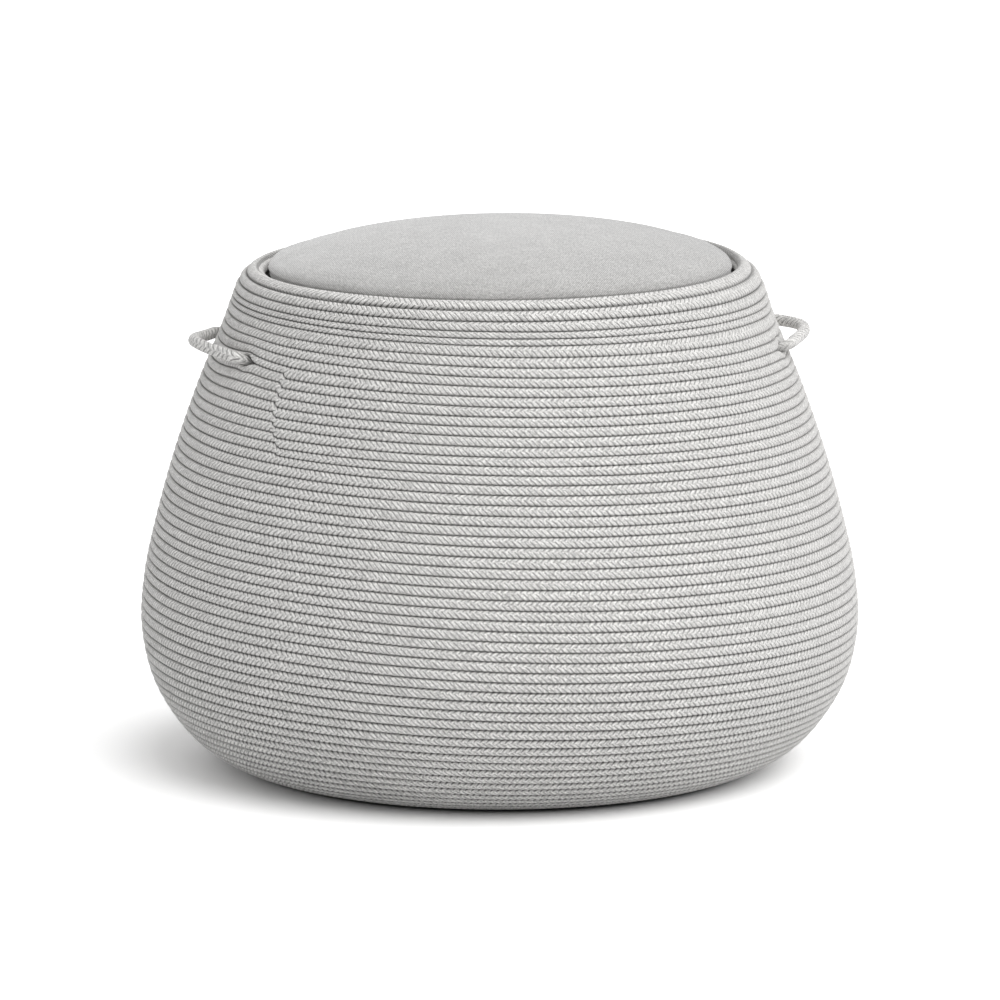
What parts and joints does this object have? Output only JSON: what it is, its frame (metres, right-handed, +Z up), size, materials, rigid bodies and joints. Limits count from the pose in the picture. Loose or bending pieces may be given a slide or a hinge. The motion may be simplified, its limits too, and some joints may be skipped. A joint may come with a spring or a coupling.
{
  "type": "outdoor ottoman footstool",
  "caption": "Round outdoor footstool with a rope-wound pear-shaped body, a crowned lift-out cushion set in its open top and a rope loop handle on each side.",
  "frame": {"origin": "on the floor under the middle of the footstool, which rests on its glides", "axes": "+Z up along the body's upright axis, the handles on +X and -X, the zip of the cushion at the rear, +Y"},
  "size_m": [0.5988, 0.5988, 0.455],
  "materials": {
    "wall_rope": "braided outdoor rope, silver grey, matt",
    "handle_rope": "braided outdoor rope, silver grey, matt",
    "frame_metal": "powder coated, mid grey",
    "panel": "fine grain, grey",
    "glide": "smooth, dark grey",
    "screw": "stainless, satin",
    "grip_pad": "non-slip, matt",
    "cushion_fabric": "fine twill, light grey",
    "foam": "open cell foam, cream",
    "zip": "zip tape and coil, grey"
  },
  "bodies": {
    "wall_and_frame": {"rope_winding": "wall_rope", "rope_wall_lower": "wall_rope", "frame_rib_1": "frame_metal", "frame_rib_2": "frame_metal", "frame_rib_3": "frame_metal", "frame_rib_4": "frame_metal", "frame_rib_5": "frame_metal", "frame_rib_6": "frame_metal", "frame_rib_7": "frame_metal", "frame_rib_8": "frame_metal", "rim_bar": "frame_metal", "belly_ring": "frame_metal", "seat_ring": "frame_metal", "base_ring": "frame_metal", "base_panel": "panel", "glide_1": "glide", "glide_2": "glide", "glide_3": "glide", "glide_4": "glide", "glide_5": "glide", "glide_6": "glide", "glide_screw_1": "screw", "glide_screw_2": "screw", "glide_screw_3": "screw", "glide_screw_4": "screw", "glide_screw_5": "screw", "glide_screw_6": "screw", "seat_deck": "panel", "deck_screw_1": "screw", "deck_screw_2": "screw", "deck_screw_3": "screw", "deck_screw_4": "screw", "deck_pad_1": "grip_pad", "deck_pad_2": "grip_pad", "deck_pad_3": "grip_pad", "deck_pad_4": "grip_pad", "handle_tail_left_front": "handle_rope", "handle_tail_left_rear": "handle_rope", "handle_tail_right_front": "handle_rope", "handle_tail_right_rear": "handle_rope"},
    "cushion": {"cushion_top_panel": "cushion_fabric", "cushion_side_band": "cushion_fabric", "cushion_bottom_panel": "cushion_fabric", "cushion_foam": "foam", "cushion_zip": "zip", "cushion_pad_1": "grip_pad", "cushion_pad_2": "grip_pad", "cushion_pad_3": "grip_pad", "cushion_pad_4": "grip_pad"},
    "handle_left": {"handle_left": "handle_rope"},
    "handle_right": {"handle_right": "handle_rope"}
  },
  "joints": [
    {"name": "cushion_lift", "type": "slide", "parent": "wall_and_frame", "child": "cushion", "axis": [0, 0, 1], "range_m": [0, 0.12]},
    {"name": "handle_left_swing", "type": "hinge", "parent": "wall_and_frame", "child": "handle_left", "pos_m": [-0.2291, 0, 0.35897], "axis": [0, 1, 0], "range_deg": [-25, 60]},
    {"name": "handle_right_swing", "type": "hinge", "parent": "wall_and_frame", "child": "handle_right", "pos_m": [0.2291, 0, 0.35897], "axis": [0, -1, 0], "range_deg": [-25, 60]}
  ]
}
